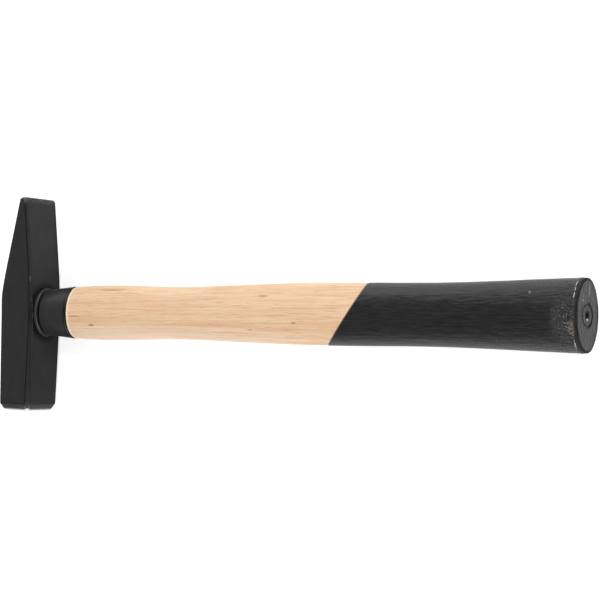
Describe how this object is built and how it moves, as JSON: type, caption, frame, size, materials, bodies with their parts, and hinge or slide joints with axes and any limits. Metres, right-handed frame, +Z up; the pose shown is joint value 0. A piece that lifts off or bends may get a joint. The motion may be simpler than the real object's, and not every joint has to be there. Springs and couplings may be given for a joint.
{
  "type": "cross-peen hammer",
  "caption": "Small cross-peen hammer: wedge-peened steel head, flanged sleeve and a wedged oval wooden handle with a dip-lacquered grip.",
  "frame": {"origin": "middle of the hammer's footprint, on the surface under its lower cheek", "axes": "+X along the handle from the head to the butt, +Y along the head from the striking face to the peen, +Z up, square to the cheeks"},
  "size_m": [0.28, 0.095, 0.019],
  "materials": {
    "head_steel": "forged carbon steel under thin black satin lacquer, edges of the striking face and the peen ground",
    "sleeve_steel": "drawn sheet steel, black semi-gloss lacquer",
    "handle_wood": "turned and sanded hickory, thin clear matt varnish",
    "wedge_wood": "hardwood, end grain outwards",
    "wedge_steel": "bright steel, driven flush",
    "grip_lacquer": "black dip lacquer over the wood grain, semi-gloss, worn at the butt"
  },
  "bodies": {
    "root": {"hammer_head": "head_steel", "handle_sleeve": "sleeve_steel", "handle": "handle_wood", "wood_wedge": "wedge_wood", "ring_wedge": "wedge_steel", "grip_coating": "grip_lacquer"}
  },
  "joints": []
}
